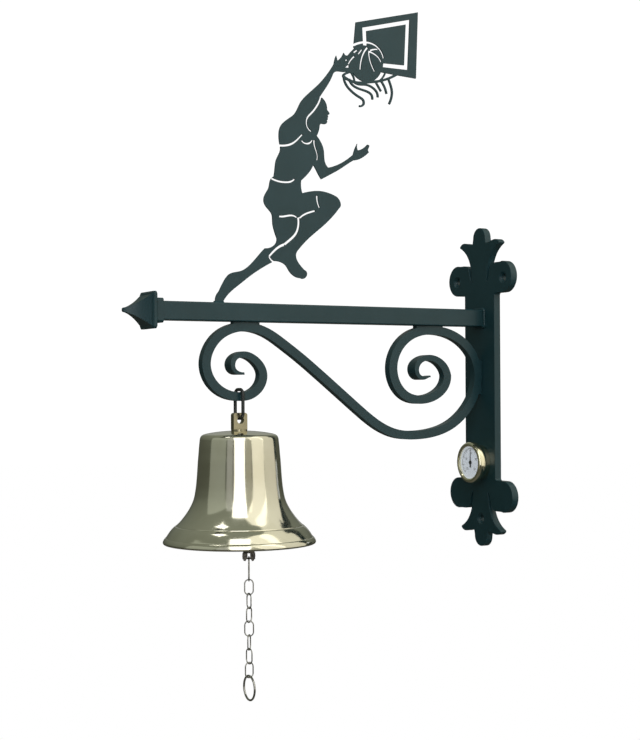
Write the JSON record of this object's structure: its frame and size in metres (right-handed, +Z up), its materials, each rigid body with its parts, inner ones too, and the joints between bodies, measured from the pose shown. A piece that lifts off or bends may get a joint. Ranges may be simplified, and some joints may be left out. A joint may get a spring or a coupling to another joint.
{
  "type": "wall mounted bell",
  "caption": "Wall bell on a scrolled bracket with a cut sheet figure on its arm, a clapper with a pull chain, and a small round thermometer on the backplate.",
  "frame": {"origin": "centre of the backplate's rear face, on the wall", "axes": "+X into the wall, the arm projects along -X, +Z up, Y across the backplate"},
  "size_m": [0.3674, 0.1318, 0.6183],
  "materials": {
    "green_grey_paint": "satin",
    "bell_brass": "polished",
    "gauge_brass": "polished",
    "gauge_glass": "clear",
    "dial_white": "matt",
    "pointer_dark": "matt",
    "zinc_steel": "satin",
    "black_steel": "semi-gloss",
    "dark_steel": "satin",
    "chain_steel": "bright"
  },
  "bodies": {
    "bracket": {"backplate": "green_grey_paint", "arm_tube": "green_grey_paint", "arm_weld_bead": "green_grey_paint", "finial": "green_grey_paint", "scroll_bar": "green_grey_paint", "weld_left_volute": "green_grey_paint", "weld_right_volute": "green_grey_paint", "weld_scroll_to_plate": "green_grey_paint", "figure_sheet": "green_grey_paint", "figure_weld_beads": "green_grey_paint", "gauge_case": "gauge_brass", "gauge_bezel": "gauge_brass", "gauge_glass": "gauge_glass", "gauge_dial": "dial_white", "gauge_bimetal_coil": "zinc_steel", "gauge_stud": "zinc_steel", "gauge_stud_nut": "zinc_steel"},
    "ring": {"suspension_ring": "black_steel"},
    "bell": {"bell_shell": "bell_brass", "bell_hanger": "bell_brass", "crown_washer": "zinc_steel", "crown_nut": "zinc_steel"},
    "clapper": {"clapper_rod": "dark_steel", "clapper_ball": "dark_steel", "clapper_tail": "dark_steel", "clapper_fork": "dark_steel", "clapper_fork_pin": "dark_steel"},
    "link_01": {"chain_link_01": "chain_steel"},
    "link_02": {"chain_link_02": "chain_steel"},
    "link_03": {"chain_link_03": "chain_steel"},
    "link_04": {"chain_link_04": "chain_steel"},
    "link_05": {"chain_link_05": "chain_steel"},
    "link_06": {"chain_link_06": "chain_steel"},
    "link_07": {"chain_link_07": "chain_steel"},
    "link_08": {"chain_link_08": "chain_steel"},
    "pull_ring": {"pull_ring": "chain_steel"},
    "pointer": {"gauge_pointer": "pointer_dark", "gauge_spindle": "pointer_dark"}
  },
  "joints": [
    {"name": "ring_swing", "type": "hinge", "parent": "bracket", "child": "ring", "pos_m": [-0.2605, 0, -0.0076], "axis": [1, 0, 0], "range_deg": [-6, 6]},
    {"name": "bell_swing", "type": "hinge", "parent": "ring", "child": "bell", "pos_m": [-0.2605, 0, -0.0263], "axis": [0, 1, 0], "range_deg": [-15, 15]},
    {"name": "clapper_swing", "type": "hinge", "parent": "bell", "child": "clapper", "pos_m": [-0.2605, 0, -0.0587], "axis": [0, 1, 0], "range_deg": [-28, 28]},
    {"name": "link_01_swing", "type": "hinge", "parent": "clapper", "child": "link_01", "pos_m": [-0.2517, 0, -0.1474], "axis": [0.8746, -0.4848, 0], "range_deg": [-8, 8]},
    {"name": "link_02_swing", "type": "hinge", "parent": "link_01", "child": "link_02", "pos_m": [-0.2517, 0, -0.16685], "axis": [0.4848, 0.8746, 0], "range_deg": [-8, 8]},
    {"name": "link_03_swing", "type": "hinge", "parent": "link_02", "child": "link_03", "pos_m": [-0.2517, 0, -0.17875], "axis": [0.9455, -0.3256, 0], "range_deg": [-8, 8]},
    {"name": "link_04_swing", "type": "hinge", "parent": "link_03", "child": "link_04", "pos_m": [-0.2517, 0, -0.19065], "axis": [0.0175, -0.9998, 0], "range_deg": [-8, 8]},
    {"name": "link_05_swing", "type": "hinge", "parent": "link_04", "child": "link_05", "pos_m": [-0.2517, 0, -0.20255], "axis": [0.8746, 0.4848, 0], "range_deg": [-8, 8]},
    {"name": "link_06_swing", "type": "hinge", "parent": "link_05", "child": "link_06", "pos_m": [-0.2517, 0, -0.21445], "axis": [0.8746, -0.4848, 0], "range_deg": [-8, 8]},
    {"name": "link_07_swing", "type": "hinge", "parent": "link_06", "child": "link_07", "pos_m": [-0.2517, 0, -0.22635], "axis": [0.6947, 0.7193, 0], "range_deg": [-8, 8]},
    {"name": "link_08_swing", "type": "hinge", "parent": "link_07", "child": "link_08", "pos_m": [-0.2517, 0, -0.23825], "axis": [0.225, -0.9744, 0], "range_deg": [-8, 8]},
    {"name": "pull_ring_swing", "type": "hinge", "parent": "link_08", "child": "pull_ring", "pos_m": [-0.2517, 0, -0.25015], "axis": [0.9994, 0.0349, 0], "range_deg": [-8, 8]},
    {"name": "pointer_turn", "type": "hinge", "parent": "bracket", "child": "pointer", "pos_m": [-0.0187, 0, -0.0715], "axis": [1, 0, 0], "range_deg": [-120, 120], "stiffness_Nm_per_rad": 0.0005}
  ]
}
